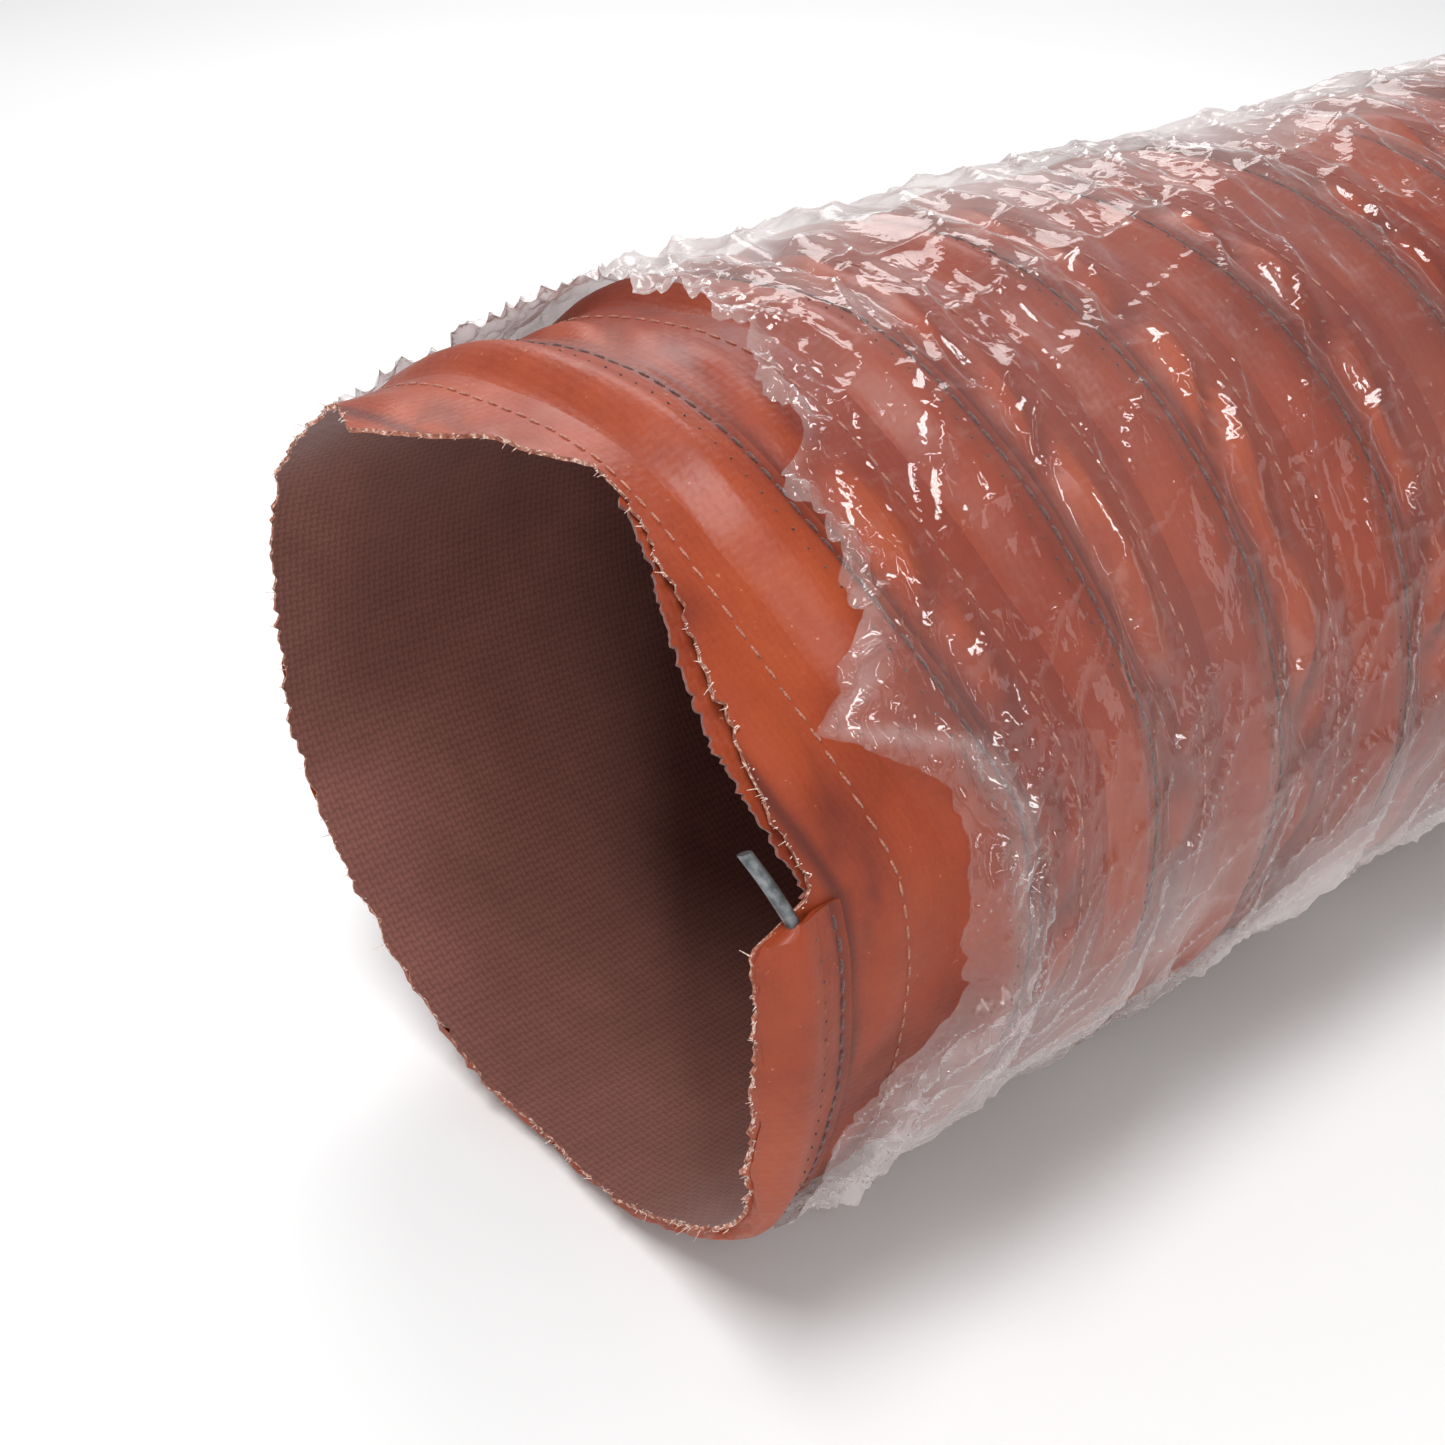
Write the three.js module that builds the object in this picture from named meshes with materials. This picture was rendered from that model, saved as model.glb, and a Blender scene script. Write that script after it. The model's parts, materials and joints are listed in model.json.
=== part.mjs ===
// A length of strip-wound flexible air duct: silicone-coated glass cloth sewn round a spring-steel wire
// helix, in a stretch film wrapping. The duct lies along +X on the plane z = 0, with its cut mouth at -X.
//
// Every piece is one turn of the same right-hand helix, so the duct can bend and shorten like the real one:
//   hoop cover   the sewn cloth lap that stands proud over the wire
//   web          the single cloth between two laps, on a smaller radius, which the laps can slide over
//   wire turn    one turn of the spring wire, held between the two cloth layers
//   seam thread  one turn of the sewing thread, on the outside of the lap
//   film turn    one turn of the wrapping
import * as THREE from "three";

// ---- Driving dimensions, in millimetres ----
const BORE_RADIUS = 50.8; // fits over a 100 mm spigot
const CLOTH = 0.5; // thickness of one layer of coated cloth
const WIRE_DIAMETER = 1.5;
const THREAD_DIAMETER = 0.5;
const FILM = 0.6; // thickness of the crumpled wrapping, several layers deep
const PITCH = 25; // advance of the helix in one turn
const HOOPS = 12; // turns of wire
const HOOP_WIDTH = 11.8; // width of the sewn lap along the axis
const LIP_SETBACK = 7.5; // from the start of the helix to the square cut of the mouth lip
const TAIL_MARGIN = 6.6; // from the end of the helix to the square cut of the tail
const THREAD_OFFSET = 2.2; // from the wire to the row of stitches beside it, along the axis

// ---- Clearances, in millimetres ----
const LAYER_GAP = 0.25; // between one layer and the next
const EDGE_GAP = 0.4; // between a lip and the hoop beside it
const WEB_GAP = 0.55; // between a web and the hoop on either side, along the axis
const TURN_GAP = 3; // between the end of one cloth turn and the start of the next
const WIRE_GAP = 0.4; // between the ends of two turns of wire, thread or film

// ---- The helix ----
const FACETS = 20; // straight steps in one turn
const STEP = 360 / FACETS;
const START_ANGLE = 90 + STEP / 2; // where each turn begins, so that a flat facet lies underneath
const FIRST_HOOP_STEPS = 4; // steps cut away from the first hoop, which bares the end of the wire
const BARE_WIRE_STEPS = 0.8; // steps of bare wire that stand out of the first hoop
const NARROWEST_LIP = 1; // a lip starts or stops where it is at least this wide, in millimetres
const SECTION_SIDES = { wire: 6, thread: 3 };

// How far the helix advances along the axis over a stretch of arc at a radius.
function advanceOf(arc, radius) {
  return (PITCH * arc) / (2 * Math.PI * radius);
}

// ---- Radii, worked out from the bore outwards ----
const webInside = BORE_RADIUS;
const webOutside = webInside + CLOTH;
const wireCentre = webOutside + LAYER_GAP + WIRE_DIAMETER / 2;
const coverInside = wireCentre + WIRE_DIAMETER / 2 + LAYER_GAP;
const coverOutside = coverInside + CLOTH;
const threadCentre = coverOutside + LAYER_GAP / 2 + THREAD_DIAMETER / 2;
const filmInside = threadCentre + THREAD_DIAMETER / 2 + LAYER_GAP;
const filmOutside = filmInside + FILM;

// ---- Places along the axis ----
// The first hoop's near corner reaches furthest towards -X, and the tail's square cut furthest towards +X.
const firstCorner = (PITCH * FIRST_HOOP_STEPS) / FACETS + advanceOf(TURN_GAP / 2, coverInside) - HOOP_WIDTH / 2;
const length = HOOPS * PITCH + TAIL_MARGIN - firstCorner;
const helixX = -length / 2 - firstCorner;
const mouthLipX = helixX + LIP_SETBACK;
const tailX = length / 2;
const webWidth = PITCH - HOOP_WIDTH - 2 * WEB_GAP;
const lipEdge = HOOP_WIDTH / 2 + EDGE_GAP; // from a hoop's centre line to the lip beside it
const stepsIn = (advance) => (FACETS * advance) / PITCH;
const mouthLipFrom = Math.ceil(stepsIn(LIP_SETBACK + NARROWEST_LIP + lipEdge));
const tailLipTo = Math.min(FACETS, Math.floor(stepsIn(PITCH + TAIL_MARGIN - NARROWEST_LIP - lipEdge)));
const axisHeight = filmOutside * Math.cos(THREE.MathUtils.degToRad(STEP / 2));

// ---- Materials ----
const finish = (color, roughness, metalness = 0, opacity = 1) =>
  new THREE.MeshStandardMaterial({ color, roughness, metalness, opacity, transparent: opacity < 1 });
const coatedCloth = finish(0xb4432a, 0.42);
const bareCloth = finish(0x6e3f38, 0.8);
const springSteel = finish(0x6d7073, 0.35, 0.9);
const sewingThread = finish(0x5b2a22, 0.8);
const clearFilm = finish(0xdcd2ce, 0.15, 0, 0.35);

// The centre line of a sweep round the duct, through a list of angles. Its frames keep a section's first
// coordinate radial and its second along the duct's axis, so that a swept band lies flat on its cylinder.
class Helix extends THREE.Curve {
  constructor(radius, startX, angles) {
    super();
    Object.assign(this, { radius, startX, angles });
  }

  angleAt(t) {
    const place = t * (this.angles.length - 1);
    const before = Math.min(Math.floor(place), this.angles.length - 2);
    return THREE.MathUtils.lerp(this.angles[before], this.angles[before + 1], place - before);
  }

  getPoint(t, target = new THREE.Vector3()) {
    const angle = this.angleAt(t);
    const x = this.startX + (PITCH * (angle - this.angles[0])) / (2 * Math.PI);
    return target.set(x, this.radius * Math.cos(angle), this.radius * Math.sin(angle));
  }

  // Corners come at the listed angles, and not at equal lengths of arc.
  getSpacedPoints(divisions) {
    return this.getPoints(divisions);
  }

  computeFrenetFrames(segments) {
    const frames = { tangents: [], normals: [], binormals: [] };
    for (let i = 0; i <= segments; i++) {
      const angle = this.angleAt(i / segments);
      frames.tangents.push(this.getTangent(i / segments));
      frames.normals.push(new THREE.Vector3(0, Math.cos(angle), Math.sin(angle)));
      frames.binormals.push(new THREE.Vector3(-1, 0, 0));
    }
    return frames;
  }
}

const root = new THREE.Group();
root.name = "flexible_air_duct";

// Adds one named mesh. The duct's axis is raised so that the lowest facet lies on z = 0.
function addPiece(name, geometry, material) {
  const mesh = new THREE.Mesh(geometry, material);
  mesh.name = name;
  mesh.position.z = axisHeight;
  root.add(mesh);
}

// Sweeps a section round the helix, from one step of the facet grid to another. gap is left open between
// this sweep's ends and its neighbours' ends. All sweeps turn their corners on the same grid of angles, so
// that the layers stay parallel.
function sweep(section, { radius, turn = 0, offset = 0, from = 0, to = FACETS, gap = 0 }) {
  const gapSteps = THREE.MathUtils.radToDeg(gap / 2 / radius) / STEP;
  const first = from + gapSteps;
  const last = to - gapSteps;
  const steps = [first];
  for (let corner = Math.ceil(first); corner < last; corner++) steps.push(corner);
  steps.push(last);
  const angles = steps.map((step) => THREE.MathUtils.degToRad(START_ANGLE + step * STEP));
  const startX = helixX + offset + PITCH * (turn + first / FACETS);
  return new THREE.ExtrudeGeometry(section, {
    steps: angles.length - 1,
    extrudePath: new Helix(radius, startX, angles),
  });
}

// A flat band's section: thickness across the radius, width along the axis.
function bandSection(thickness, width) {
  const section = new THREE.Shape();
  section.moveTo(0, -width / 2);
  section.lineTo(thickness, -width / 2);
  section.lineTo(thickness, width / 2);
  section.lineTo(0, width / 2);
  section.closePath();
  return section;
}

function roundSection(diameter, sides) {
  const corners = Array.from({ length: sides }, (_, i) => {
    const angle = (2 * Math.PI * i) / sides;
    return new THREE.Vector2((diameter / 2) * Math.cos(angle), (diameter / 2) * Math.sin(angle));
  });
  return new THREE.Shape(corners);
}

// Trims a band square: whatever reaches past the plane at planeX, on the side away from the duct, is put on it.
function trimSquare(geometry, planeX) {
  const position = geometry.getAttribute("position");
  const clamp = planeX < 0 ? Math.max : Math.min;
  for (let i = 0; i < position.count; i++) position.setX(i, clamp(position.getX(i), planeX));
  return geometry;
}

// The plain cloth between the edge of a hoop and a square cut end.
function addLip(name, { turn, from = 0, to = FACETS, planeX }) {
  const outwards = Math.sign(planeX);
  const width = 2 * PITCH; // more than enough to reach the plane all the way round
  const offset = outwards * (lipEdge + width / 2);
  const band = sweep(bandSection(CLOTH, width), { radius: webInside, turn, offset, from, to, gap: TURN_GAP });
  addPiece(name, trimSquare(band, planeX), coatedCloth);
}

const numbered = (name, i) => `${name}_${String(i + 1).padStart(2, "0")}`;
const wireSection = roundSection(WIRE_DIAMETER, SECTION_SIDES.wire);
const threadSection = roundSection(THREAD_DIAMETER, SECTION_SIDES.thread);
const coverSection = bandSection(CLOTH, HOOP_WIDTH);
const webSection = bandSection(CLOTH, webWidth);
const filmSection = bandSection(FILM, PITCH - WIRE_GAP);

for (let turn = 0; turn < HOOPS; turn++) {
  const first = turn === 0;
  const last = turn === HOOPS - 1;
  const from = first ? FIRST_HOOP_STEPS : 0;
  const wireFrom = first ? FIRST_HOOP_STEPS - BARE_WIRE_STEPS : 0;

  addPiece(
    numbered("hoop_cover", turn),
    sweep(coverSection, { radius: coverInside, turn, from, gap: TURN_GAP }),
    coatedCloth,
  );
  addPiece(
    numbered("wire_turn", turn),
    sweep(wireSection, { radius: wireCentre, turn, from: wireFrom, gap: WIRE_GAP }),
    springSteel,
  );
  addPiece(
    numbered("seam_thread", turn),
    sweep(threadSection, { radius: threadCentre, turn, from, offset: THREAD_OFFSET, gap: WIRE_GAP }),
    sewingThread,
  );
  if (!last) {
    addPiece(
      numbered("web", turn),
      sweep(webSection, { radius: webInside, turn, offset: PITCH / 2, gap: TURN_GAP }),
      bareCloth,
    );
  }
  // The wrapping is torn back from the mouth, so the first hoop is bare, and is cut off at the tail.
  if (!first) {
    addPiece(
      numbered("film_turn", turn),
      trimSquare(sweep(filmSection, { radius: filmInside, turn, gap: WIRE_GAP }), tailX),
      clearFilm,
    );
  }
}

addLip("mouth_lip", { turn: 0, from: mouthLipFrom, planeX: mouthLipX });
addLip("tail_lip", { turn: HOOPS - 1, to: tailLipTo, planeX: tailX });

export default root;
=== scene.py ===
"""The looks of a strip-wound flexible air duct: silicone-coated glass cloth, a spring-wire helix, two rows of
stitches and a crumpled clear wrapping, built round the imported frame.

Sizes are in millimetres until a mesh is finished. A place on the duct is (x, turn angle, radius) about its
axis: x runs from the mouth to the tail, and the angle is measured from +Y towards +Z. `u` is the distance
along the axis from the nearest turn of the wire."""

import json
import math
import random
from typing import NamedTuple

import bmesh
import bpy
import numpy as np
from mathutils import Matrix, Vector


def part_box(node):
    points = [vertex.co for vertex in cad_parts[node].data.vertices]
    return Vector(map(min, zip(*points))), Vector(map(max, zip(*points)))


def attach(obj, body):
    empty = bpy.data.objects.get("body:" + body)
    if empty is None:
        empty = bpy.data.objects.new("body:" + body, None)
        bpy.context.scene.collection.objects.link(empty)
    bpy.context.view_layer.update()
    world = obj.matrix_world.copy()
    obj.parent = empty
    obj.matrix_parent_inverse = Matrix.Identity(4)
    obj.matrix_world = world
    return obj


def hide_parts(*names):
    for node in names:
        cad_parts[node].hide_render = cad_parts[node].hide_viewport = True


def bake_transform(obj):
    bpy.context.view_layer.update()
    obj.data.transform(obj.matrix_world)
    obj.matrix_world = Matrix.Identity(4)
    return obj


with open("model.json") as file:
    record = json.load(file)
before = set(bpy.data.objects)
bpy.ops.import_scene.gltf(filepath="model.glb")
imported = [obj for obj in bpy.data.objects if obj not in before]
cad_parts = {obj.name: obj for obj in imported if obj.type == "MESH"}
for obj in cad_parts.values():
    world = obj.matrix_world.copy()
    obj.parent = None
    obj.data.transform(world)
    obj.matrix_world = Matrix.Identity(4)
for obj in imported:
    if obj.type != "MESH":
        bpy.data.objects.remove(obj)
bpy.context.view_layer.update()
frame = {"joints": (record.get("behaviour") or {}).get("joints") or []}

# ---- Places, from the frame ----
MM = 0.001
bends = [joint for joint in frame["joints"] if joint["name"].startswith("bend")]
HOOPS = len(bends) + 1
PITCH = (bends[1]["pos_m"][0] - bends[0]["pos_m"][0]) / MM
HELIX_X = bends[0]["pos_m"][0] / MM - PITCH
AXIS_Z = bends[0]["pos_m"][2] / MM
TAIL_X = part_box("tail_lip")[1].x / MM
START = math.radians(99)  # where each turn of the wire begins
TONGUE = math.radians(164)  # where the first lap is cut
MOUTH_X = HELIX_X + 20.5  # the mouth's mean plane

# ---- Sizes ----
CLOTH = 0.5
TUBE_R = 51.1  # outside of the single cloth
WIRE_R = 0.75
WIRE_CENTRE = 51.98  # from the duct's axis to the middle of the wire
BARE_WIRE = 8.0  # length of wire that stands out of the first lap
LAP_EDGE = 5.9  # from the wire to the lap's free edge
LAP_LEFT = -5.5  # from the wire to where the lap runs out
LAP_SEAM = -9.5  # from the wire to the other row of stitches
STITCH = 2.4  # from one stitch to the next
FILM_R = 52.95  # the wrapping, where it lies flat
FINE_FILM = 5  # film slices before this one, near the torn edge, have a finer mesh
WEAVE_X = 0.9  # a weave cell's length
WEAVE_TURN = 280  # weave cells round the duct
MOUTH_SLICE = 20  # length of the mouth slice before its rim is cut
MOUTH_STRIP = 18  # width of the strip that slice is cut from
PUSH = 7.5  # how far the cloth beside the wire's end is pushed back
PUSH_HOLDS = 15  # from the mouth's mean plane to where the push begins to fade
PUSH_FADES = 45  # the length over which it fades
FRAYS = 520  # broken threads round the rim

# Angles past its top at which the second turn's arcs are split, by the first slide and by the first hinge
SLIDE_ENDS, HINGE_ENDS = math.radians(45), math.radians(105)

# Distances from the start of the helix at which a skin is cut into slices
BLEND_PLANES = [19, 29.4, 39.5, 50] + [62.5 + 12.5 * n for n in range(19)]


# ---- Noise and curves ----
def smooth(t):
    t = np.clip(t, 0, 1)
    return t * t * (3 - 2 * t)


def lattice(a, b, seed):
    """Smooth noise from -1 to 1 on a grid of unit cells."""
    i, j = np.floor(a), np.floor(b)
    fa, fb = a - i, b - j

    def corner(di, dj):
        h = np.sin((i + di) * 127.1 + (j + dj) * 311.7 + seed * 74.7) * 43758.5453
        turn = 2 * np.pi * (h - np.floor(h))
        return np.cos(turn) * (fa - di) + np.sin(turn) * (fb - dj)

    sa, sb = smooth(fa), smooth(fb)
    low = corner(0, 0) * (1 - sa) + corner(1, 0) * sa
    high = corner(0, 1) * (1 - sa) + corner(1, 1) * sa
    return 1.5 * (low * (1 - sb) + high * sb)


def round_field(x, phi, cell_x, cell_arc, seed, lean=0.0):
    """Noise on the duct's surface whose cells are cell_x by cell_arc and lean by `lean`, without a join."""
    phi = np.mod(phi, 2 * np.pi)

    def at(angle):
        arc = angle * TUBE_R
        across = x * math.cos(lean) + arc * math.sin(lean)
        along = arc * math.cos(lean) - x * math.sin(lean)
        return lattice(across / cell_x, along / cell_arc, seed)

    fade = smooth((phi - 2 * np.pi + 0.6) / 0.6)
    return at(phi) * (1 - fade) + at(phi - 2 * np.pi) * fade


def outline(points):
    """A closed curve of values round the duct, through (degrees from the top towards +Y, value)."""
    degrees, values = zip(*sorted(points))
    degrees = [degrees[-1] - 360, *degrees, degrees[0] + 360]
    values = [values[-1], *values, values[0]]

    def at(phi):
        theta = np.mod(90 - np.degrees(phi) + 180, 360) - 180
        return np.interp(theta, degrees, values)

    return at


# Distances from the mouth's mean plane. The tongue where the wire begins is on the -Y side.
rim_line = outline(
    [(-180, -4), (-150, -5), (-122, -8), (-110, -11), (-95, -12.6), (-76, -13.2), (-72.5, -5),
     (-66, -6.4), (-58, -7.4), (-40, -6), (-26, -4), (-18, -4.4), (-12, -8.5), (-6, -9.5), (-2, -13.5),
     (8, -18.5), (16, -15.5), (30, -12), (60, -9), (90, -8), (120, -7.5), (150, -5.5)]
)
film_line = outline(
    [(-180, 6), (-150, 1), (-125, 0), (-106, 0), (-98, 8), (-90, 12), (-82, 10), (-72, 12), (-64, 10),
     (-60, 3), (-57, -2), (-54, 4), (-46, 8), (-40, 10), (-30, 10), (-24, 16), (-18, 14), (-10, 19),
     (5, 21), (20, 20), (34, 9), (50, -4), (80, -5), (120, -2), (150, 3)]
)

# How much of the push acts on each side of the duct
push_side = outline(
    [(-179, 0.95), (-150, 1.1), (-122, 1.02), (-74, 1), (-62, 0.55), (-50, 0.25), (-34, 0), (100, 0),
     (150, 0.5)]
)


def push(x, phi):
    """How far the cloth beside the wire's end is pushed back from the mouth."""
    return PUSH * push_side(phi) * (1 - smooth((x - MOUTH_X - PUSH_HOLDS) / PUSH_FADES))


def before_push(x, phi):
    """Where a place in the finished duct lay before it was pushed back."""
    found = x
    for _ in range(12):
        found = x - push(found, phi)
    return found


def off_wire(x, phi):
    """u: the distance along the axis from the nearest turn of wire, from LAP_SEAM up to the next lap."""
    turns = np.mod(phi - START, 2 * np.pi) / (2 * np.pi)
    return np.mod(x - HELIX_X - PITCH * turns - LAP_SEAM, PITCH) + LAP_SEAM


def across_web(x, phi):
    """From 0 at one lap's free edge to 1 at the next lap's row of stitches."""
    u = off_wire(x, phi)
    return np.clip((u - LAP_EDGE) / (PITCH + LAP_SEAM - LAP_EDGE), 0, 1)


def creases(x, phi):
    """Nought along the slanting creases between the puffs."""
    return np.abs(round_field(x, phi, 8.5, 24, 3, lean=0.5))


def puff(x, phi):
    """The single cloth between two laps stands out in slanting puffs."""
    between = across_web(x, phi)
    pleat = creases(x, phi) ** 0.7
    stand = (4.6 * pleat - 0.9).clip(0)
    return np.sin(np.pi * between) ** 2 * stand * (0.25 + 0.75 * smooth((x - MOUTH_X) / 30))


def settle(x, phi, radius, puffed=1.0):
    """Where a point of any layer comes to lie, in millimetres. All layers share it, so they stay nested."""
    deep = smooth((x - MOUTH_X + 15) / 60)
    sway = round_field(x, phi, 45, 27, 11) * (1.9 - 1.3 * deep)
    sway = sway + np.sin(phi).clip(0) ** 2 * (4.2 * smooth((x - MOUTH_X + 12) / 60) - 2.6)
    fold = round_field(x, phi, 16, 26, 12, lean=-0.5) * 0.55
    pucker = round_field(x, phi, 4.5, 7, 13, lean=0.5) * 0.12
    r = radius + sway + fold + pucker + puffed * puff(x, phi)
    along = x + push(x, phi)
    y, z = r * np.cos(phi), AXIS_Z + r * np.sin(phi)
    floor = 0.15 + (FILM_R + 1.6 - radius).clip(0) * 0.9
    z = np.where(z < floor + 1.5, floor + 1.5 * np.exp((z - floor - 1.5) / 1.5), z)
    return np.stack([along, y, z], axis=-1)


# ---- Meshes ----
def new_piece(name, bm, materials):
    mesh = bpy.data.meshes.new(name)
    bm.to_mesh(mesh)
    bm.free()
    for material in materials:
        mesh.materials.append(material)
    piece = bpy.data.objects.new(name, mesh)
    bpy.context.scene.collection.objects.link(piece)
    return piece


def points_of(bm):
    """x, angle and radius of each vertex of a mesh spun about the X axis."""
    co = np.array([v.co for v in bm.verts], float).reshape(-1, 3)
    return co[:, 0], np.arctan2(co[:, 2], co[:, 1]), np.hypot(co[:, 1], co[:, 2])


def set_points(bm, co):
    for vertex, place in zip(bm.verts, co * MM):
        vertex.co = place


def spun(profile, closed, angle, steps, begin=0.0, advance=0.0):
    """A profile of (x, radius) points swept round the X axis from the angle `begin`, advancing along X."""
    columns = len(profile) - (0 if closed else 1)
    bm = bmesh.new()
    bmesh.ops.create_grid(bm, x_segments=columns, y_segments=steps, size=1)
    grid = (np.array([v.co for v in bm.verts])[:, :2] + 1) / 2
    along = np.array(profile)[np.rint(grid[:, 0] * columns).astype(int) % len(profile)]
    turned = begin + angle * grid[:, 1]
    place = along[:, 0] + advance * grid[:, 1], along[:, 1] * np.cos(turned), along[:, 1] * np.sin(turned)
    for vertex, co in zip(bm.verts, np.stack(place, axis=-1)):
        vertex.co = co
    bmesh.ops.remove_doubles(bm, verts=bm.verts, dist=1e-4)
    return bm


def cloth_uv(bm, x, phi):
    """A UV map in weave cells, along the duct and round it, with no jump where the angle comes round."""
    layer = bm.loops.layers.uv.new("cloth")
    cells = np.mod(phi, 2 * np.pi) / (2 * np.pi) * WEAVE_TURN
    for face in bm.faces:
        first = cells[face.loops[0].vert.index]
        for loop in face.loops:
            i = loop.vert.index
            v = cells[i] + WEAVE_TURN * round((first - cells[i]) / WEAVE_TURN)
            loop[layer].uv = (x[i] / WEAVE_X, v)


def soft_shading(bm, sharpest=0.8):
    for face in bm.faces:
        face.smooth = True
    for edge in bm.edges:
        if len(edge.link_faces) == 2 and edge.calc_face_angle(0) > sharpest:
            edge.smooth = False


def paint(bm, name, values):
    layer = bm.verts.layers.float.new(name)
    for vertex, value in zip(bm.verts, values):
        vertex[layer] = float(value)


def stations(low, high, step):
    count = max(2, round((high - low) / step))
    return [low + (high - low) * n / count for n in range(count + 1)]


def shell_profile(low, high, step, outside, inside):
    top = [(x, outside) for x in stations(low, high, step)]
    return top + [(x, inside) for x, _ in reversed(top)]


# ---- Materials ----
class Nodes:
    """Short ways to add nodes to one new material."""

    def __init__(self, name):
        self.made = bpy.data.materials.new(name)
        self.made.use_nodes = True
        self.tree = self.made.node_tree
        self.tree.nodes.clear()

    def give(self, socket, value):
        if isinstance(value, bpy.types.NodeSocket):
            self.tree.links.new(value, socket)
        else:
            socket.default_value = value

    def add(self, kind, values=None, **settings):
        node = self.tree.nodes.new("ShaderNode" + kind)
        for key, value in settings.items():
            setattr(node, key, value)
        for socket, value in (values or {}).items():
            self.give(node.inputs[socket], value)
        return node

    def math(self, operation, *values):
        node = self.add("Math", operation=operation)
        for socket, value in zip(node.inputs, values):
            self.give(socket, value)
        return node.outputs[0]

    def noise(self, vector, scale, detail=2.0, roughness=0.5):
        values = {"Vector": vector, "Scale": scale, "Detail": detail, "Roughness": roughness}
        return self.add("TexNoise", values).outputs["Fac"]

    def crease(self, vector, detail):
        """Noise folded about its middle, so that it has sharp valleys as crumpled film does."""
        return self.math("ABSOLUTE", self.math("SUBTRACT", self.noise(vector, 1.0, detail), 0.5))

    def ramp(self, value, *stops):
        node = self.add("ValToRGB", {"Fac": value})
        elements = node.color_ramp.elements
        while len(elements) < len(stops):
            elements.new(0.5)
        for element, (place, colour) in zip(elements, stops):
            element.position = place
            element.color = (*colour, 1) if len(colour) == 3 else colour
        return node.outputs["Color"]

    def mix(self, factor, first, second, blend="MIX"):
        node = self.add("Mix", data_type="RGBA", blend_type=blend)
        self.give(node.inputs["Factor"], factor)
        for name, value in (("A", first), ("B", second)):
            self.give(node.inputs[name], (*value, 1) if isinstance(value, tuple) else value)
        return node.outputs["Result"]

    def mapped(self, source, scale=(1, 1, 1), turn=(0, 0, 0)):
        return self.add("Mapping", {"Vector": source, "Scale": scale, "Rotation": turn}).outputs[0]

    def bump(self, height, strength, distance, below=None):
        values = {"Height": height, "Strength": strength, "Distance": distance}
        if below:
            values["Normal"] = below
        return self.add("Bump", values).outputs[0]

    def finish(self, shader):
        output = self.add("OutputMaterial")
        self.tree.links.new(shader, output.inputs["Surface"])
        return self.made


def weave(n, cells):
    """Height of a plain weave, one cell to each unit of `cells`: each thread passes over, then under."""
    parts = n.add("SeparateXYZ", {"Vector": cells})
    warp = n.math("ABSOLUTE", n.math("SINE", n.math("MULTIPLY", parts.outputs[0], math.pi)))
    weft = n.math("ABSOLUTE", n.math("SINE", n.math("MULTIPLY", parts.outputs[1], math.pi)))
    square = n.math("ADD", n.math("FLOOR", parts.outputs[0]), n.math("FLOOR", parts.outputs[1]))
    over = n.math("ABSOLUTE", n.math("MODULO", square, 2.0))
    top = n.math("MULTIPLY", warp, n.math("ADD", 0.55, n.math("MULTIPLY", over, 0.45)))
    side = n.math("MULTIPLY", weft, n.math("SUBTRACT", 1.0, n.math("MULTIPLY", over, 0.45)))
    return n.math("MAXIMUM", top, side)


def silicone_cloth():
    """The glossy outside: a thick orange-red coat over glass cloth, with the weave just showing through."""
    n = Nodes("silicone_coat")
    place = n.add("TexCoord").outputs["Object"]
    cells = n.add("UVMap", uv_map="cloth").outputs[0]
    weave_height = weave(n, cells)
    cloudy = n.noise(place, 45, 4, 0.6)
    dull, red, bright = (0.16, 0.017, 0.005), (0.26, 0.036, 0.010), (0.35, 0.060, 0.016)
    colour = n.ramp(cloudy, (0.3, dull), (0.5, red), (0.72, bright))
    colour = n.mix(n.math("MULTIPLY", n.noise(place, 2600, 1), 0.12), colour, (0.60, 0.15, 0.06))
    specks = n.ramp(n.noise(place, 900, 2, 0.7), (0.7, (0, 0, 0)), (0.76, (1, 1, 1)))
    colour = n.mix(n.math("MULTIPLY", specks, 0.35), colour, (0.72, 0.36, 0.24))
    # Painted shade: the hollow attribute darkens the coat where no puff stands, and evenly on the laps, from
    # a little way in from the mouth.
    hollow = n.add("Attribute", attribute_name="hollow").outputs["Fac"]
    colour = n.mix(n.math("MULTIPLY", hollow, 0.62), colour, (0.17, 0.020, 0.011))
    # Painted shade: the groove attribute darkens the coat much more, beside a lap's free edge, along the
    # creases and by a lap's stitch row.
    groove = n.add("Attribute", attribute_name="groove").outputs["Fac"]
    colour = n.mix(n.math("MULTIPLY", groove, 0.85), colour, (0.075, 0.012, 0.008))
    rough = n.math("ADD", 0.33, n.math("MULTIPLY", n.noise(place, 160, 3), 0.3))
    coarse = n.bump(n.noise(place, 240, 3), 0.35, 0.0004)
    normal = n.bump(weave_height, 0.22, 0.00016, coarse)
    shader = n.add("BsdfPrincipled", {"Base Color": colour, "Roughness": rough, "Normal": normal,
                                      "Specular IOR Level": 0.3, "Coat Weight": 0.06, "Coat Roughness": 0.22})
    return n.finish(shader.outputs[0])


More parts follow.
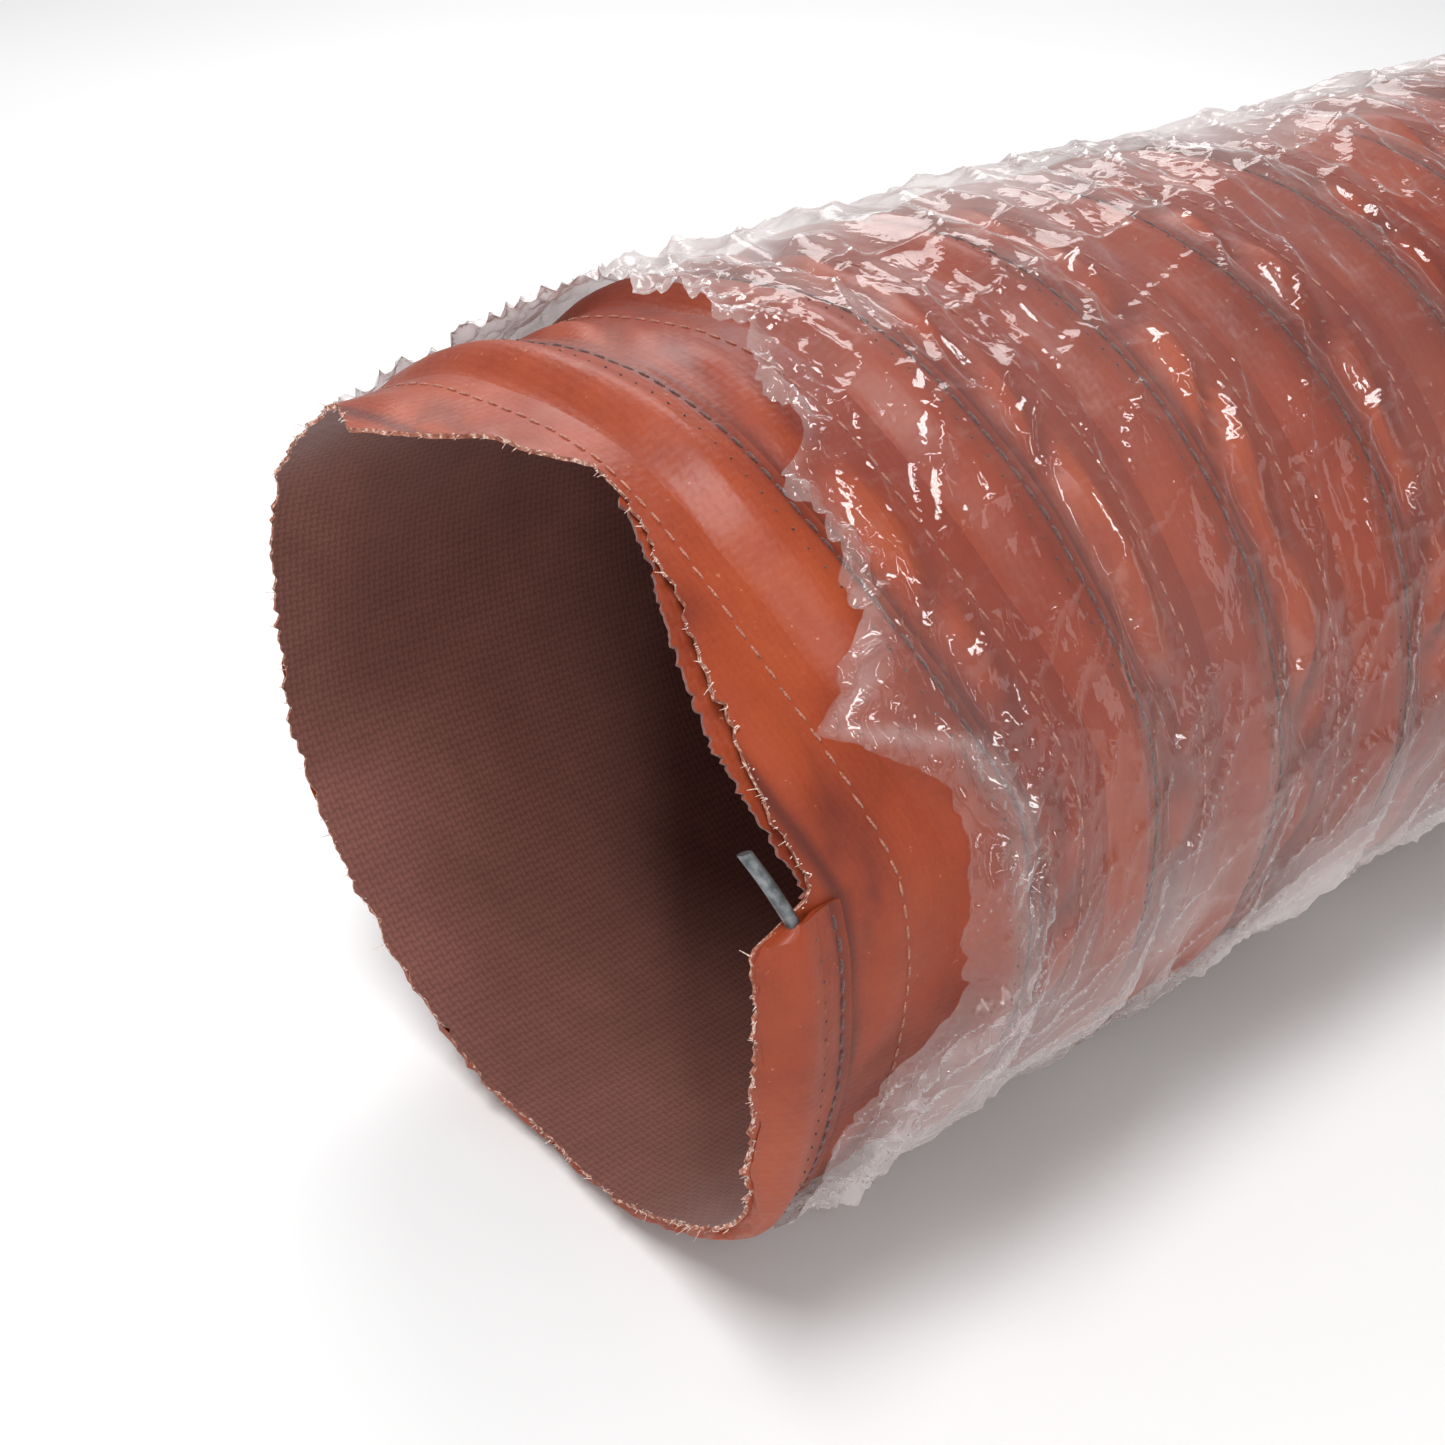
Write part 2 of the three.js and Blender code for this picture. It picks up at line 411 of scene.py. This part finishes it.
def woven_lining():
    """The matte inside: brown glass cloth with its threads plain to see."""
    n = Nodes("woven_lining")
    place = n.add("TexCoord").outputs["Object"]
    cells = n.add("UVMap", uv_map="cloth").outputs[0]
    height = weave(n, cells)
    cloudy = n.noise(place, 30, 4, 0.6)
    colour = n.ramp(cloudy, (0.3, (0.16, 0.060, 0.048)), (0.7, (0.27, 0.105, 0.083)))
    # Painted shade: the lining is darker where the weave is low, between and under the threads.
    dark = n.mix(1.0, colour, (0.6, 0.56, 0.56), "MULTIPLY")
    colour = n.mix(n.math("POWER", height, 1.5), dark, colour)
    slub = n.noise(n.mapped(place, (120, 900, 900)), 1.0, 2)
    colour = n.mix(n.math("MULTIPLY", slub, 0.25), colour, (0.30, 0.13, 0.10))
    normal = n.bump(height, 0.25, 0.0002, n.bump(n.noise(place, 90, 3), 0.35, 0.0009))
    shader = n.add("BsdfPrincipled", {"Base Color": colour, "Roughness": 0.78, "Normal": normal,
                                      "Sheen Weight": 0.25, "Sheen Roughness": 0.4,
                                      "Specular IOR Level": 0.25})
    return n.finish(shader.outputs[0])


def cut_edge():
    """The cut through the cloth: coat on one side, broken pale glass threads through the middle."""
    n = Nodes("cut_edge")
    place = n.add("TexCoord").outputs["Object"]
    coat, cloth, glass = (0.20, 0.055, 0.035), (0.42, 0.17, 0.11), (0.75, 0.60, 0.52)
    colour = n.ramp(n.noise(place, 1500, 2, 0.7), (0.38, coat), (0.55, cloth), (0.66, glass))
    normal = n.bump(n.noise(place, 2200, 2), 0.6, 0.0003)
    shader = n.add("BsdfPrincipled", {"Base Color": colour, "Roughness": 0.85, "Normal": normal})
    return n.finish(shader.outputs[0])


def drawn_steel():
    n = Nodes("drawn_steel")
    place = n.add("TexCoord").outputs["Object"]
    colour = n.ramp(n.noise(place, 700, 3, 0.6), (0.35, (0.10, 0.11, 0.115)), (0.65, (0.27, 0.28, 0.29)))
    rough = n.math("ADD", 0.3, n.math("MULTIPLY", n.noise(place, 1500, 2), 0.25))
    normal = n.bump(n.noise(place, 2400, 2), 0.25, 0.0001)
    shader = n.add("BsdfPrincipled", {"Base Color": colour, "Metallic": 0.85, "Roughness": rough,
                                      "Normal": normal})
    return n.finish(shader.outputs[0])


def thread(name, dark, light):
    n = Nodes(name)
    place = n.add("TexCoord").outputs["Object"]
    twist = n.noise(n.mapped(place, (1, 1, 1), (0.6, 0.3, 0)), 4200, 1)
    colour = n.ramp(twist, (0.35, dark), (0.65, light))
    shader = n.add("BsdfPrincipled", {"Base Color": colour, "Roughness": 0.7, "Sheen Weight": 0.3,
                                      "Normal": n.bump(twist, 0.5, 0.00015)})
    return n.finish(shader.outputs[0])


def clear_film():
    """Clear stretch film: bright where it turns towards a lamp, milky at a glancing angle and in patches."""
    n = Nodes("clear_film")
    place = n.add("TexCoord").outputs["Object"]
    wrinkle = n.crease(n.mapped(place, (200, 80, 80)), 2)
    fine = n.crease(n.mapped(place, (420, 300, 300), (0.5, 0, 0)), 3)
    normal = n.bump(fine, 0.35, 0.0006, n.bump(wrinkle, 0.4, 0.0014))
    facing = n.add("LayerWeight", {"Blend": 0.35, "Normal": normal}).outputs["Facing"]
    scuffs = n.noise(n.mapped(place, (160, 420, 420)), 1.0, 4, 0.7)
    streaks = n.ramp(scuffs, (0.56, (0, 0, 0)), (0.8, (1, 1, 1)))
    # Partly painted reflection: the milky bands along the top and the lower -Y side whiten the film where it
    # would mirror the bright surroundings.
    milk_and_glare = n.add("Attribute", attribute_name="milk_and_glare").outputs["Fac"]
    haze = n.math("ADD", n.math("MULTIPLY", streaks, 0.07), n.math("MULTIPLY", milk_and_glare, 0.68))
    haze = n.math("ADD", haze, n.math("MULTIPLY", n.math("POWER", facing, 5.0), 0.5))
    haze = n.add("Clamp", {"Value": haze, "Min": 0.0, "Max": 0.8}).outputs[0]
    shine = n.math("ADD", 0.045, n.math("MULTIPLY", n.math("POWER", facing, 3.0), 0.33))
    clear = n.add("BsdfTransparent", {"Color": (0.97, 0.96, 0.96, 1)})
    gloss = n.add("BsdfGlossy", {"Color": (1, 1, 1, 1), "Roughness": 0.07, "Normal": normal})
    lit = n.add("MixShader", {0: shine, 1: clear.outputs[0], 2: gloss.outputs[0]})
    milky = n.add("BsdfPrincipled", {"Base Color": (0.74, 0.68, 0.67, 1), "Roughness": 0.4, "Normal": normal,
                                     "Specular IOR Level": 0.6})
    both = n.add("MixShader", {0: haze, 1: lit.outputs[0], 2: milky.outputs[0]})
    return n.finish(both.outputs[0])


COAT, LINING, EDGE, STEEL = silicone_cloth(), woven_lining(), cut_edge(), drawn_steel()
PALE_THREAD = thread("pale_thread", (0.20, 0.045, 0.025), (0.50, 0.20, 0.12))
# The same thread as the pale one, darkened as painted shade for the stitches by a lap's edge and for the
# needle holes.
SHADED_THREAD = thread("shaded_thread", (0.035, 0.010, 0.008), (0.13, 0.035, 0.025))
GLASS_FIBRE = thread("glass_fibre", (0.45, 0.26, 0.20), (0.78, 0.66, 0.58))
FILM = clear_film()


# ---- Which bodies a piece follows ----
def hoop(n):
    return f"hoop_{n:02d}"


def cloth_body(n):
    return f"cloth_{n:02d}"


def follow_planes(piece, index):
    """A slice of a skin between two planes across the duct: odd slices cross a slide, even ones a hinge. The
    first rides on the first hoop and the last on the last hoop; the rest, odd and even alike, are only fixed
    in place.
    """
    if index == 0:
        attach(piece, hoop(1))
    elif index == len(BLEND_PLANES):
        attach(piece, hoop(HOOPS))
    else:
        if index % 2:
            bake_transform(piece)
        else:
            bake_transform(piece)


class Arc(NamedTuple):
    """A stretch of one turn of the helix, with the two bodies that it joins, or none if it rides on one."""

    turn: int
    first: float
    last: float
    bodies: tuple


def all_arcs():
    """Half turns, from the top to the floor across a hinge and up again across a slide.

    The first turn stays with the mouth, so the second one crosses both joints on its way down."""
    half = math.pi
    made = []
    for turn in range(HOOPS):
        top = math.pi / 2 + 2 * math.pi * turn
        down = Arc(turn, top, top + half, (cloth_body(turn), hoop(turn + 1)))
        up = Arc(turn, top + half, top + 2 * half, (hoop(turn + 1), cloth_body(turn + 1)))
        if turn == 0:
            down, up = down._replace(first=TONGUE, bodies=()), up._replace(bodies=())
        if turn == 1:
            made.append(Arc(turn, top, top + SLIDE_ENDS, (hoop(1), cloth_body(1))))
            down = down._replace(first=top + SLIDE_ENDS, last=top + HINGE_ENDS)
            up = up._replace(first=top + HINGE_ENDS)
        if turn == HOOPS - 1:
            up = up._replace(last=START + 2 * math.pi * HOOPS, bodies=())
        made += [down, up]
    return made


def follow_arc(piece, arc):
    """An arc that rides on one body is attached to its turn's hoop; an arc that joins two bodies is only
    fixed in place.
    """
    if arc.bodies:
        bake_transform(piece)
    else:
        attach(piece, hoop(arc.turn + 1))


# ---- The single cloth ----
def slice_ends(index):
    low = HELIX_X + BLEND_PLANES[index - 1] if index else None
    high = HELIX_X + BLEND_PLANES[index] if index < len(BLEND_PLANES) else TAIL_X
    return low, high


def jagged(phi, size=0.5):
    """How a cut edge of the cloth wanders."""
    waves = 1.3 * lattice(phi * 11, phi * 0, 20) + lattice(phi * 43, phi * 0, 21)
    return size * (waves + 0.8 * lattice(phi * 97, phi * 0, 22))


def declare_cut(low, high, torn):
    """Works out the share of a strip round the duct from low to high that lies inside its torn edge, but
    neither keeps nor returns it.
    """
    angles = np.linspace(0, 2 * math.pi, 721)[:-1]
    left = np.clip(high - MOUTH_X - torn(angles), 0, high - low).mean() / (high - low)


def mark_lining(bm, radius):
    """What lies inside this radius, before the layer is shaped, is the lining."""
    for face in bm.faces:
        face.material_index = 1 if face.calc_center_median().yz.length < radius else 0


def mark_cut(bm, x):
    """What lies in the plane at x, before the layer is shaped, is a cut through the cloth."""
    for face in bm.faces:
        if abs(face.calc_center_median().x - x) < 1e-4:
            face.material_index = 2


def shade_hollows(bm, x, phi):
    """The cloth is darker where no puff stands, along the creases, and in the groove at a lap's edge."""
    crease = np.exp(-((creases(x, phi) / 0.14) ** 2)) * np.sin(np.pi * across_web(x, phi))
    hollow = 1 - smooth(puff(x, phi) / 1.1)
    groove = np.exp(-(((off_wire(x, phi) - LAP_EDGE - 0.4) / 1.0) ** 2))
    paint(bm, "hollow", hollow * smooth((x - MOUTH_X - 4) / 18))
    paint(bm, "groove", np.maximum(groove, 0.55 * crease))


def tube_slice(index):
    low, high = slice_ends(index)
    first, last = index == 0, index == len(BLEND_PLANES)
    begin = high - MOUTH_SLICE if first else low
    steps = 400 if first else 200
    bm = spun(shell_profile(begin, high, 1.1, TUBE_R, TUBE_R - CLOTH), True, 2 * math.pi, steps)
    x, phi, r = points_of(bm)
    if first:
        rim = MOUTH_X + rim_line(phi) + jagged(phi)
        x = rim + (high - rim) * (x - begin) / (high - begin)
    x_cloth = before_push(x, phi)
    if last:
        x_cloth = np.minimum(x_cloth, TAIL_X + np.where(x > TAIL_X - 0.2, jagged(phi, 0.3), 0))
    mark_lining(bm, TUBE_R - CLOTH / 2)
    if first or last:
        mark_cut(bm, begin if first else high)
    cloth_uv(bm, x_cloth, phi)
    shade_hollows(bm, x_cloth, phi)
    set_points(bm, settle(x_cloth, phi, r, r > TUBE_R - CLOTH / 2))
    bmesh.ops.recalc_face_normals(bm, faces=bm.faces)
    soft_shading(bm)
    piece = new_piece(f"cloth_slice_{index:02d}", bm, [COAT, LINING, EDGE])
    declare_cut(high - MOUTH_STRIP if first else low, high, rim_line)
    if first:
        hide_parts("mouth_lip")
    elif last:
        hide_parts("tail_lip")
    elif index % 2 == 0:
        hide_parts(f"web_{index // 2:02d}")
    follow_planes(piece, index)


# ---- The laps over the wire ----
def lap_top(u):
    """Outside of the lap: feathered at its far seam, raised over the wire, and dimpled where it is sewn."""
    lying = TUBE_R - 0.08 + 0.75 * smooth((u - LAP_LEFT) / 3.2)
    over_wire = 1.5 * np.exp(-((u / 2.7) ** 2))
    sewn = 0.22 * np.exp(-(((u - LAP_EDGE + 1.1) / 0.7) ** 2))
    return np.where(u < LAP_LEFT, TUBE_R, lying + over_wire - sewn)


def lap_under(u):
    """Inside of the lap, hollow over the wire."""
    bump = 1.5 * np.exp(-((u / 2.0) ** 2))
    return TUBE_R - 0.2 + 0.45 * smooth((u - LAP_LEFT) / 2) + bump


def helix_x(angle):
    return HELIX_X + PITCH * (angle - START) / (2 * math.pi)


def lap_profile():
    across = stations(LAP_LEFT, LAP_EDGE - 0.3, 0.85) + [LAP_EDGE]
    top = [(u, float(lap_top(np.array(u)))) for u in across]
    under = [(u, float(lap_under(np.array(u)))) for u in across]
    return top + list(reversed(under))


def lap(number, arc):
    first, last = arc.first, arc.last
    steps = round((last - first) * TUBE_R / 1.3)
    profile = [(helix_x(first) + u, r) for u, r in lap_profile()]
    bm = spun(profile, True, last - first, steps, first, PITCH * (last - first) / (2 * math.pi))
    bmesh.ops.holes_fill(bm, edges=[e for e in bm.edges if e.is_boundary], sides=0)
    x, phi, r = points_of(bm)
    u = off_wire(x + 1e-4, phi)
    cloth_uv(bm, x, phi)
    # Painted shade on the lap: a dark band by the stitch row near its free edge, and an even darkening from a
    # little way in from the mouth.
    paint(bm, "groove", 0.9 * np.exp(-(((u - LAP_EDGE + 0.9) / 0.8) ** 2)))
    paint(bm, "hollow", 0.5 * smooth((x - MOUTH_X - 4) / 18))
    co = settle(x, phi, r)
    if arc.turn == 0:
        rim = MOUTH_X + rim_line(phi) + 0.35 + jagged(phi + 1)
        if first == TONGUE:
            cut = smooth((TONGUE + 0.03 - phi) / 0.03)
            rim = rim + cut * np.abs(jagged(x * 0.05))
        co[:, 0] = np.maximum(co[:, 0], rim)
    set_points(bm, co)
    bmesh.ops.remove_doubles(bm, verts=bm.verts, dist=2e-6)
    bmesh.ops.dissolve_degenerate(bm, edges=bm.edges, dist=2e-6)
    bmesh.ops.recalc_face_normals(bm, faces=bm.faces)
    soft_shading(bm)
    piece = new_piece(f"lap_{number:02d}", bm, [COAT])
    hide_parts(f"hoop_cover_{arc.turn + 1:02d}")
    follow_arc(piece, arc)


# ---- The wire ----
def wire(number, arc):
    first, last = arc.first, arc.last
    bare = BARE_WIRE / WIRE_CENTRE if first == TONGUE else 0
    first -= bare
    steps = round((last - first) * WIRE_CENTRE / 1.6)
    ring = [2 * math.pi * n / 12 for n in range(12)]
    profile = [(helix_x(first) + WIRE_R * math.sin(a), WIRE_CENTRE + WIRE_R * math.cos(a)) for a in ring]
    bm = spun(profile, True, last - first, steps, first, PITCH * (last - first) / (2 * math.pi))
    bmesh.ops.holes_fill(bm, edges=[e for e in bm.edges if e.is_boundary], sides=0)
    x, phi, r = points_of(bm)
    co = settle(x, phi, r)
    if bare:
        shape_wire_end(co, phi, r)
    set_points(bm, co)
    bmesh.ops.recalc_face_normals(bm, faces=bm.faces)
    soft_shading(bm)
    piece = new_piece(f"wire_{number:02d}", bm, [STEEL])
    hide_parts(f"wire_turn_{arc.turn + 1:02d}")
    follow_arc(piece, arc)


def shape_wire_end(co, phi, r):
    """The cutter pinched the wire's end to a slanting edge and left a burr on it."""
    near = smooth(1 - (phi - phi.min()) * WIRE_CENTRE / 2.2)
    outwards = (r - WIRE_CENTRE) / WIRE_R
    squeeze = near * (r - WIRE_CENTRE) * 0.55
    co[:, 1] -= squeeze * np.cos(phi)
    co[:, 2] -= squeeze * np.sin(phi)
    co[:, 2] += near**2 * (0.9 * outwards.clip(0) + 0.35 * np.abs(np.sin(outwards * 9)))


# ---- Stitches ----
def balls(count):
    """That many small balls in one mesh, each numbered by a layer on its vertices."""
    bm = bmesh.new()
    number = bm.verts.layers.int.new("number")
    bmesh.ops.create_uvsphere(bm, u_segments=6, v_segments=4, radius=1)
    made = 1
    while made < count:
        copied = bmesh.ops.duplicate(bm, geom=bm.verts[:] + bm.edges[:] + bm.faces[:])
        for item in copied["geom"]:
            if isinstance(item, bmesh.types.BMVert):
                item[number] += made
        made *= 2
    bmesh.ops.delete(bm, geom=[v for v in bm.verts if v[number] >= count], context="VERTS")
    return bm, number


# Each row: its material, its place beside the wire, half its thickness, how far it is sunk, and half of its
# length as a share of a stitch. The second row's thread is the pale thread darkened as painted shade, as it
# lies by a lap's edge. The last row is the needle holes, small sunk balls of that darkened thread that stand
# for the shade inside each hole.
PALE_ROW, SHADED_ROW = (0, LAP_SEAM + 0.8, 0.15, 0.05, 0.40), (1, LAP_EDGE - 1.1, 0.26, 0.12, 0.45)
HOLES = (1, 1.8, 0.17, 0.10, 0.07)


def stitch_places(number, arc):
    """The two ends, half thickness and material of every stitch along an arc."""
    first = arc.first + (0.02 if arc.first == TONGUE else 0)
    wander = random.Random(number)
    found = []
    for slot, u, thick, sunk, share in (PALE_ROW, SHADED_ROW, HOLES):
        count = round((arc.last - first) * TUBE_R / STITCH)
        gap = (arc.last - first) / count
        middles = first + gap * (np.arange(count) + 0.5)
        x = helix_x(middles) + u + np.array([wander.gauss(0, 0.07) for _ in middles])
        x -= 0.4 * push(x, middles) if slot == 0 else 0
        radius = lap_top(np.full(count, u)) - sunk + 0.12
        half = share * gap
        ends = [settle(x + s * PITCH * half / (2 * math.pi), middles + s * half, radius) for s in (-1, 1)]
        rim = MOUTH_X + rim_line(middles) + 0.6
        found += [(a, b, thick, slot) for a, b, edge in zip(*ends, rim) if a[0] > edge]
    return found


def stitch_rows(number, arc):
    places = stitch_places(number, arc)
    bm, counted = balls(len(places))
    frames = []
    for tail, head, thick, _ in places:
        along = Vector(head - tail)
        size = Matrix.Diagonal((along.length / 2 * MM, thick * MM, thick * MM, 1))
        turned = along.to_track_quat("X", "Z").to_matrix().to_4x4()
        frames.append(Matrix.Translation(Vector((head + tail) / 2) * MM) @ turned @ size)
    for vertex in bm.verts:
        vertex.co = frames[vertex[counted]] @ vertex.co
    for face in bm.faces:
        face.material_index = places[face.verts[0][counted]][3]
        face.smooth = True
    piece = new_piece(f"stitches_{number:02d}", bm, [PALE_THREAD, SHADED_THREAD])
    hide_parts(f"seam_thread_{arc.turn + 1:02d}")
    follow_arc(piece, arc)


# ---- The wrapping ----
def crumple(x, phi):
    """How far the film stands off what it wraps: sharp pleats, long folds, and a bunched torn edge."""
    pleat = 1 - np.abs(round_field(x, phi, 9, 21, 31, lean=0.7))
    fine = 1 - np.abs(round_field(x, phi, 4, 9, 32, lean=0.35))
    long_fold = 1 - np.abs(round_field(x, phi, 60, 13, 33, lean=-0.12))
    patchy = smooth(0.5 + round_field(x, phi, 26, 30, 36))
    loose = smooth((np.sin(phi) - 0.55) / 0.4)
    edge = np.exp(-(((x - MOUTH_X - film_line(phi)) / 6) ** 2))
    pleats = 0.95 * pleat**7 + 0.65 * patchy * fine**6 + 0.6 * long_fold**16
    bunched = edge * 1.7 * (1 - np.abs(round_field(x, phi, 2.2, 3.6, 34, lean=0.4))) ** 3
    billow = loose * 1.3 * (0.5 + 0.5 * round_field(x, phi, 22, 24, 35, lean=0.5))
    return pleats + bunched + billow


def film_surface(x, phi):
    """The film lies over the ribs, dips into the groove beside each, and follows part of each puff."""
    u = off_wire(x, phi)
    base = FILM_R + 0.95 * np.exp(-((u / 3.6) ** 2)) + 0.45 * np.exp(-(((u - PITCH) / 3.6) ** 2))
    dip = 0.9 * np.exp(-(((u - LAP_EDGE - 0.8) / 1.3) ** 2))
    return settle(x, phi, base - dip + crumple(x, phi), 0.6)


def film_normals(x, phi, nudge=0.25):
    """Outward normals of the film, so that one slice shades into the next without a line."""
    along = film_surface(x + nudge, phi) - film_surface(x - nudge, phi)
    around = film_surface(x, phi + nudge / FILM_R) - film_surface(x, phi - nudge / FILM_R)
    normals = np.cross(around, along)
    normals *= np.sign((normals[:, 1:] * (film_surface(x, phi)[:, 1:] - (0, AXIS_Z))).sum(1))[:, None]
    return normals / np.linalg.norm(normals, axis=1)[:, None]


def tear_off(bm, inside):
    """Deletes what lies outside the torn edge, and says which of the vertices are left."""
    lost = [f for f in bm.faces if not any(inside[v.index] for v in f.verts)]
    left = np.ones(len(bm.verts), bool)
    bmesh.ops.delete(bm, geom=lost, context="FACES_ONLY")
    for vertex in bm.verts:
        left[vertex.index] = bool(vertex.link_faces)
    bmesh.ops.delete(bm, geom=[v for v in bm.verts if not v.link_faces], context="VERTS")
    return left


def film_slice(index):
    low, high = slice_ends(index)
    step, steps = (0.5, 640) if index < FINE_FILM else (0.85, 420)
    bm = spun([(x, FILM_R) for x in stations(low, high, step)], False, 2 * math.pi, steps)
    x, phi, _ = points_of(bm)
    torn = MOUTH_X + film_line(phi) + 2.2 * lattice(phi * 11, phi * 0, 41)
    torn += 0.55 * lattice(phi * 38, phi * 0, 42)
    inside = x >= torn
    x = np.maximum(x, torn)
    if index == len(BLEND_PLANES):
        x = np.minimum(x, TAIL_X - 2 + 1.2 * lattice(phi * 11, phi * 0, 43))
    x = before_push(x, phi)
    paint(bm, "milk_and_glare", film_milk_and_glare(x, phi))
    set_points(bm, film_surface(x, phi))
    left = tear_off(bm, inside)
    normals = film_normals(x, phi)[left]
    faces = bm.faces[:]
    for face in faces:
        face.smooth = True
    if faces and faces[0].normal.dot(Vector(normals[0])) < 0:
        bmesh.ops.reverse_faces(bm, faces=faces)
    piece = new_piece(f"film_slice_{index:02d}", bm, [FILM])
    piece.data.normals_split_custom_set_from_vertices([tuple(v) for v in normals])
    declare_cut(low, high, film_line)
    if index >= 4 and index % 2 == 0:
        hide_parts(f"film_turn_{index // 2:02d}")
    if index == len(BLEND_PLANES):
        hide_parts(f"film_turn_{HOOPS:02d}")
    follow_planes(piece, index)


def film_milk_and_glare(x, phi):
    """Where several layers lie over each other or are scuffed, the film is milky. The bands along the top and
    the lower -Y side stand partly for more layers and partly for a painted reflection of the bright
    surroundings.
    """
    theta = np.mod(90 - np.degrees(phi) + 180, 360) - 180
    # Milky bands along the top and the lower -Y side: partly more layers, partly painted reflection.
    top = smooth(1.3 - np.abs(theta - 36) / 36) + 0.35 * smooth(1.3 - np.abs(theta - 100) / 60)
    low = smooth(1.2 - np.abs(theta + 125) / 35)
    patch = smooth(0.55 + 0.6 * round_field(x, phi, 24, 30, 51, lean=0.7))
    edge = np.exp(-(((x - MOUTH_X - film_line(phi)) / 2.2) ** 2))
    return np.clip(0.06 * patch + 0.25 * top + 0.72 * top * patch + 0.8 * low * patch + 0.22 * edge, 0, 1)


# ---- Frays at the mouth ----
def rim_leaf():
    """Beside the wire's end the cloth's inner layer has come away from the outer one, and leaves a slit."""
    begin, end = math.radians(113), math.radians(163)
    low, high = MOUTH_X - 8, MOUTH_X + 4
    bm = spun(shell_profile(low, high, 1.2, TUBE_R - 0.75, TUBE_R - 1.25), True, end - begin, 110, begin)
    bmesh.ops.holes_fill(bm, edges=[e for e in bm.edges if e.is_boundary], sides=0)
    x, phi, r = points_of(bm)
    share = (x - low) / (high - low)
    across = np.sin(np.pi * (phi - begin) / (end - begin)).clip(0)
    rim = MOUTH_X + rim_line(phi) - 1.1 * across + jagged(phi + 2, 0.45)
    x = rim + (high - rim) * share
    mark_lining(bm, TUBE_R - 1)
    cloth_uv(bm, x, phi)
    hanging = 1.5 * across * (1 - share) ** 1.5
    set_points(bm, settle(x - push(x, phi), phi, r - hanging, 0.0))
    bmesh.ops.recalc_face_normals(bm, faces=bm.faces)
    soft_shading(bm)
    piece = new_piece("rim_leaf", bm, [COAT, LINING])
    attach(piece, hoop(1))


def frays():
    """Broken threads that stand out of the cut rim, most of them bare glass and the rest still coated."""
    bm = bmesh.new()
    seeded = random.Random(7)
    for _ in range(FRAYS):
        phi = seeded.uniform(-math.pi, math.pi)
        at = np.array([phi])
        x = MOUTH_X + float(rim_line(at)[0] + jagged(at)[0])
        radius = TUBE_R - seeded.uniform(0, CLOTH)
        base = settle(np.array([x]), at, np.array([radius]))[0]
        base[0] = x + 0.15
        length = min(2.2, seeded.expovariate(3.2) + 0.2)
        lean = Vector((-1, seeded.gauss(0, 0.5), seeded.gauss(0, 0.5))).normalized()
        thick = seeded.uniform(0.05, 0.10)
        turned = lean.to_track_quat("Z", "Y").to_matrix().to_4x4()
        place = Matrix.Translation((Vector(base) + lean * length / 2) * MM) @ turned
        before = len(bm.faces)
        bmesh.ops.create_cone(
            bm, cap_ends=True, segments=4, radius1=thick * MM, radius2=thick * 0.35 * MM,
            depth=length * MM, matrix=place,
        )
        bm.faces.ensure_lookup_table()
        coated = seeded.random() < 0.3
        for face in bm.faces[before:]:
            face.material_index = int(coated)
    piece = new_piece("rim_frays", bm, [GLASS_FIBRE, EDGE])
    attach(piece, hoop(1))


# ---- Stage, camera and lamps ----
def floor():
    bm = bmesh.new()
    bmesh.ops.create_grid(bm, x_segments=1, y_segments=1, size=3)
    n = Nodes("pale_floor")
    place = n.add("TexCoord").outputs["Object"]
    colour = n.ramp(n.noise(place, 3, 2), (0.3, (0.80, 0.80, 0.80)), (0.7, (0.84, 0.84, 0.84)))
    shader = n.add("BsdfPrincipled", {"Base Color": colour, "Roughness": 0.9})
    new_piece("floor", bm, [n.finish(shader.outputs[0])])


def daylight():
    world = bpy.data.worlds.new("studio")
    world.use_nodes = True
    world.node_tree.nodes["Background"].inputs["Color"].default_value = (1, 1, 1, 1)
    world.node_tree.nodes["Background"].inputs["Strength"].default_value = 0.37
    bpy.context.scene.world = world


def lamp(name, place, aim, size, power):
    data = bpy.data.lights.new(name, "AREA")
    data.shape = "RECTANGLE"
    data.size, data.size_y = size
    data.energy = power
    made = bpy.data.objects.new(name, data)
    made.location = place
    made.rotation_euler = (Vector(aim) - Vector(place)).to_track_quat("-Z", "Y").to_euler()
    bpy.context.scene.collection.objects.link(made)


def camera():
    data = bpy.data.cameras.new("camera")
    data.sensor_width = 36
    data.lens = 36 * 2000 / 1445  # the frame is 1445 wide at a distance of 2000
    data.clip_start, data.clip_end = 0.01, 20
    made = bpy.data.objects.new("camera", data)
    made.location = Vector((MOUTH_X - 107.9, -161.0, AXIS_Z + 124.7)) * MM
    forward = Vector((0.5449, 0.6632, -0.5128))
    made.rotation_euler = forward.to_track_quat("-Z", "Y").to_euler()
    bpy.context.scene.collection.objects.link(made)
    bpy.context.scene.camera = made


camera()
floor()
daylight()
lamp("key", (-0.35, -0.12, 0.8), (-0.05, 0, 0.05), (0.25, 0.4), 5.2)
lamp("side", (0.25, -0.9, 0.35), (0.0, 0, 0.05), (0.25, 0.7), 0.8)
lamp("back", (0.35, 0.6, 0.7), (0.0, 0, 0.05), (0.6, 0.4), 4.6)
lamp("strip", (-0.5, -0.62, 0.42), (-0.03, 0, 0.05), (0.05, 0.6), 2.0)
bpy.context.scene.view_settings.view_transform = "Standard"

tube_slice(0)
for index in range(1, len(BLEND_PLANES) + 1):
    tube_slice(index)
    film_slice(index)
for number, arc in enumerate(all_arcs(), 1):
    lap(number, arc)
    wire(number, arc)
    stitch_rows(number, arc)
rim_leaf()
frays()
